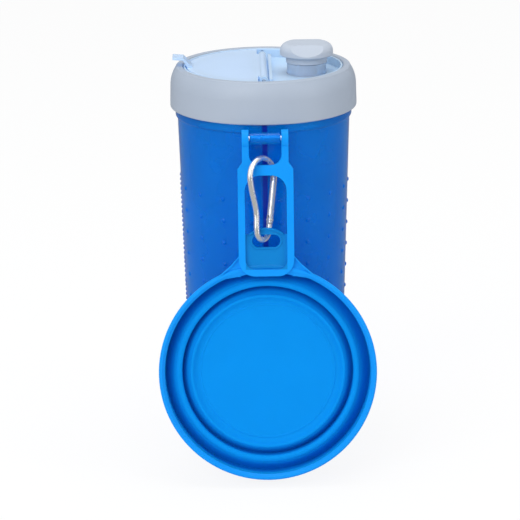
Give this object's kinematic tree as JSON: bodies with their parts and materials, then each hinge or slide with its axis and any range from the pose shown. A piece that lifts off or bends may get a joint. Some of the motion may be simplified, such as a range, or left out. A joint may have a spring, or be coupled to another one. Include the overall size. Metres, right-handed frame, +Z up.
{
  "type": "dog travel water bottle",
  "caption": "Tapered travel bottle with separate water and snack chambers, a screw collar, capped spout, flip lid, folding cup on a hinged fork and a carabiner",
  "frame": {"origin": "middle of the bottle's base, on the surface it stands on", "axes": "+Z up along the bottle's axis; the cup hangs on the -Y side; the spout is on the +X side and the flip lid on the -X side"},
  "size_m": [0.1144, 0.1341, 0.2214],
  "materials": {
    "body": "translucent deep blue, polished",
    "collar": "pale blue-grey, satin",
    "deck": "translucent pale blue, polished",
    "seal": "silicone, matte",
    "cup": "bright blue, satin",
    "bowl": "bright blue elastomer, satin",
    "steel": "nickel-plated, polished",
    "spring": "spring steel"
  },
  "bodies": {
    "bottle": {"bottle_body": "body"},
    "lid": {"lid_deck": "deck", "deck_gasket": "seal", "flip_hinge_pin": "steel"},
    "collar": {"lid_collar": "collar"},
    "flip": {"flip_lid": "deck", "flip_lid_seal": "seal"},
    "cap_liner": {"cap_seal": "seal"},
    "cap": {"spout_cap": "collar"},
    "cup": {"cup_frame": "cup", "cup_hinge_pin": "steel", "bowl_top_band": "bowl"},
    "web_outer": {"fold_web_outer": "bowl"},
    "ring": {"fold_ring": "bowl"},
    "web_inner": {"fold_web_inner": "bowl"},
    "base": {"bowl_base": "bowl"},
    "carabiner": {"carabiner_body": "steel", "gate_rivet": "steel"},
    "gate": {"carabiner_gate": "steel", "gate_spring": "spring"}
  },
  "joints": [
    {"name": "lid_lift", "type": "slide", "parent": "bottle", "child": "lid", "axis": [0, 0, 1], "range_m": [0, 0.022]},
    {"name": "collar_turn", "type": "hinge", "parent": "lid", "child": "collar", "pos_m": [0, 0, 0.19], "axis": [0, 0, 1], "range_deg": [0, 1761]},
    {"name": "flip_open", "type": "hinge", "parent": "lid", "child": "flip", "pos_m": [0, 0, 0.2077], "axis": [0, 1, 0], "range_deg": [0, 105]},
    {"name": "cap_lift", "type": "slide", "parent": "lid", "child": "cap_liner", "axis": [0, 0, 1], "range_m": [0, 0.009]},
    {"name": "cap_turn", "type": "hinge", "parent": "cap_liner", "child": "cap", "pos_m": [0.0233, 0, 0.215], "axis": [0, 0, 1], "range_deg": [0, 1081]},
    {"name": "cup_swing", "type": "hinge", "parent": "bottle", "child": "cup", "pos_m": [0, -0.052, 0.1817], "axis": [-1, 0, 0], "range_deg": [0, 100]},
    {"name": "ring_slide", "type": "slide", "parent": "cup", "child": "ring", "axis": [0, 0.9848, -0.1736], "range_m": [0, 0.01701]},
    {"name": "base_slide", "type": "slide", "parent": "ring", "child": "base", "axis": [0, 0.9848, -0.1736], "range_m": [0, 0.01701]},
    {"name": "web_outer_slide", "type": "slide", "parent": "cup", "child": "web_outer", "axis": [0, 0.9848, -0.1736], "range_m": [0, 0.00851]},
    {"name": "web_inner_slide", "type": "slide", "parent": "ring", "child": "web_inner", "axis": [0, 0.9848, -0.1736], "range_m": [0, 0.00851]},
    {"name": "carabiner_turn", "type": "hinge", "parent": "cup", "child": "carabiner", "pos_m": [-0.0017, -0.05151, 0.18161], "axis": [0, -0.1736, -0.9848], "range_deg": [-4, 2]},
    {"name": "gate_open", "type": "hinge", "parent": "carabiner", "child": "gate", "pos_m": [0.00203, -0.05489, 0.13859], "axis": [0.7431, -0.659, 0.1162], "range_deg": [0, 30], "stiffness_Nm_per_rad": 0.01, "springref_deg": -28.65}
  ],
  "couplings": [
    {"joint": "collar_turn", "follows": "lid_lift", "rad_per_m": 1396.3},
    {"joint": "cap_turn", "follows": "cap_lift", "rad_per_m": 2094.4},
    {"joint": "ring_slide", "follows": "cup_swing", "m_per_rad": 0.0097403},
    {"joint": "base_slide", "follows": "cup_swing", "m_per_rad": 0.0097403},
    {"joint": "web_outer_slide", "follows": "cup_swing", "m_per_rad": 0.0048701},
    {"joint": "web_inner_slide", "follows": "cup_swing", "m_per_rad": 0.0048701}
  ]
}
